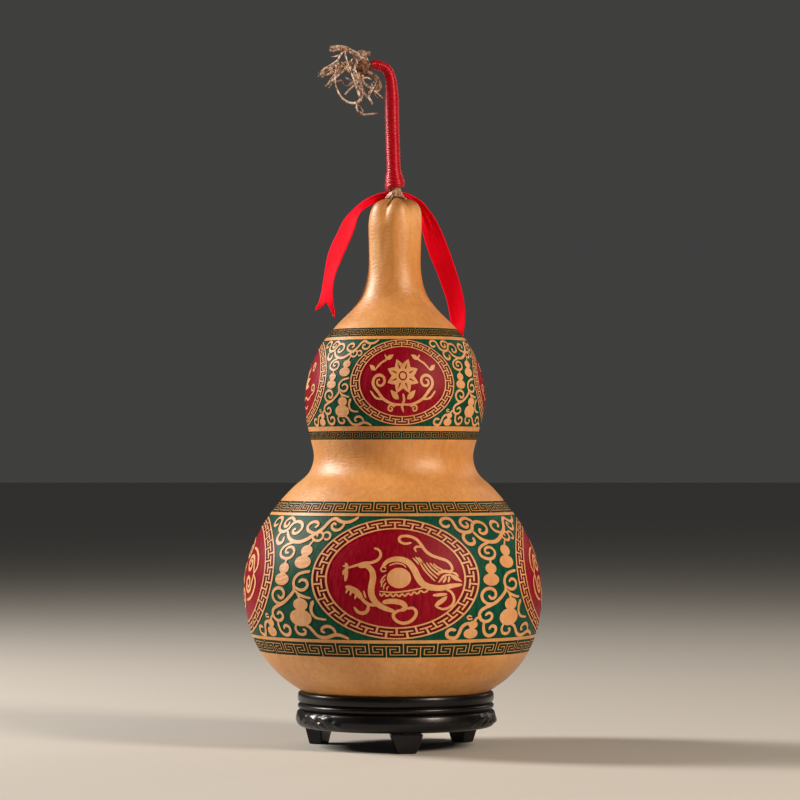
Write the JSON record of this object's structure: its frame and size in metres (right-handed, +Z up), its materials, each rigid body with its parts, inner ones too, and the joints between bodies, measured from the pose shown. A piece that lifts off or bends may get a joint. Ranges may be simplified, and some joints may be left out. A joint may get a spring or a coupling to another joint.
{
  "type": "dried bottle gourd on a stand",
  "caption": "Painted dried bottle gourd with a thread-wound stem, a dried tendril tuft and a ribbon, resting on a turned three-footed stand.",
  "frame": {"origin": "on the surface that the feet stand on, under the middle of the box round the object, which is the middle of the lower bulb", "axes": "+Z up along the gourd towards its stem, -Y the front, +X to the right seen from the front"},
  "size_m": [0.1429, 0.1419, 0.3364],
  "materials": {
    "gourd_skin": "dried gourd rind, waxed, tan with painted and engraved bands",
    "dried_vine": "dry, matt, striated",
    "silk_thread": "fine silk thread wound tightly",
    "satin_ribbon": "satin weave, bright red",
    "black_lacquer": "black gloss lacquer on turned wood"
  },
  "bodies": {
    "root": {"gourd": "gourd_skin", "vine_stem": "dried_vine", "thread_wrap": "silk_thread", "ribbon": "satin_ribbon", "stand_body": "black_lacquer", "stand_foot_1": "black_lacquer", "stand_foot_2": "black_lacquer", "stand_foot_3": "black_lacquer"}
  },
  "joints": []
}
